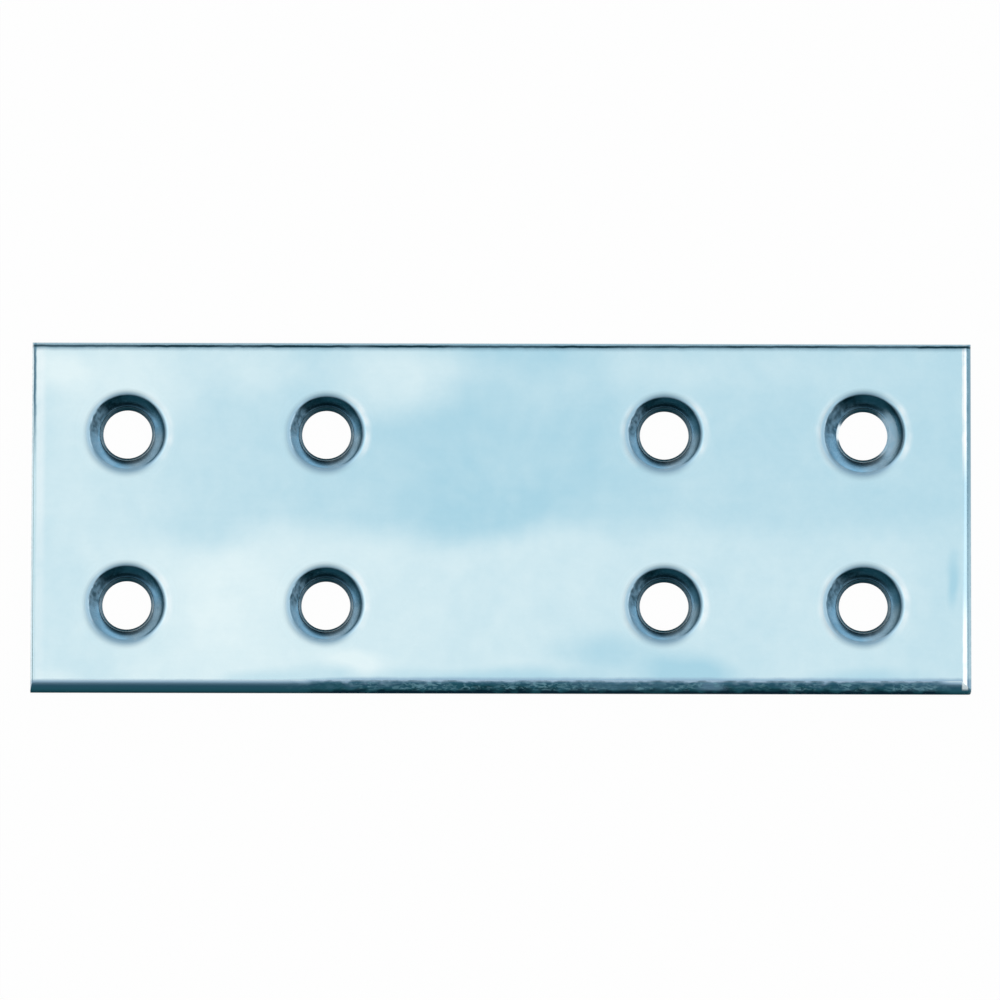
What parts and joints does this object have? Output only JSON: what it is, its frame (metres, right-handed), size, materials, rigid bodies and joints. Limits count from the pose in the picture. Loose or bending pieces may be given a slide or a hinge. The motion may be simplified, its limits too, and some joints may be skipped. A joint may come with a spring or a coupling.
{
  "type": "mending plate",
  "caption": "Flat rectangular steel mending plate with countersunk screw holes near both ends, screwed across a joint to hold two pieces of wood together.",
  "frame": {"origin": "centre of the back face's bounding rectangle, at the height of the back face", "axes": "+X along the plate's length towards the end with the deepest countersink, +Y across its width towards the back side, +Z out of the countersunk top face"},
  "size_m": [0.1, 0.0374, 0.0025],
  "materials": {
    "zinc_plated_steel": "bright zinc plated with a pale blue passivate"
  },
  "bodies": {
    "root": {"plate": "zinc_plated_steel"}
  },
  "joints": []
}
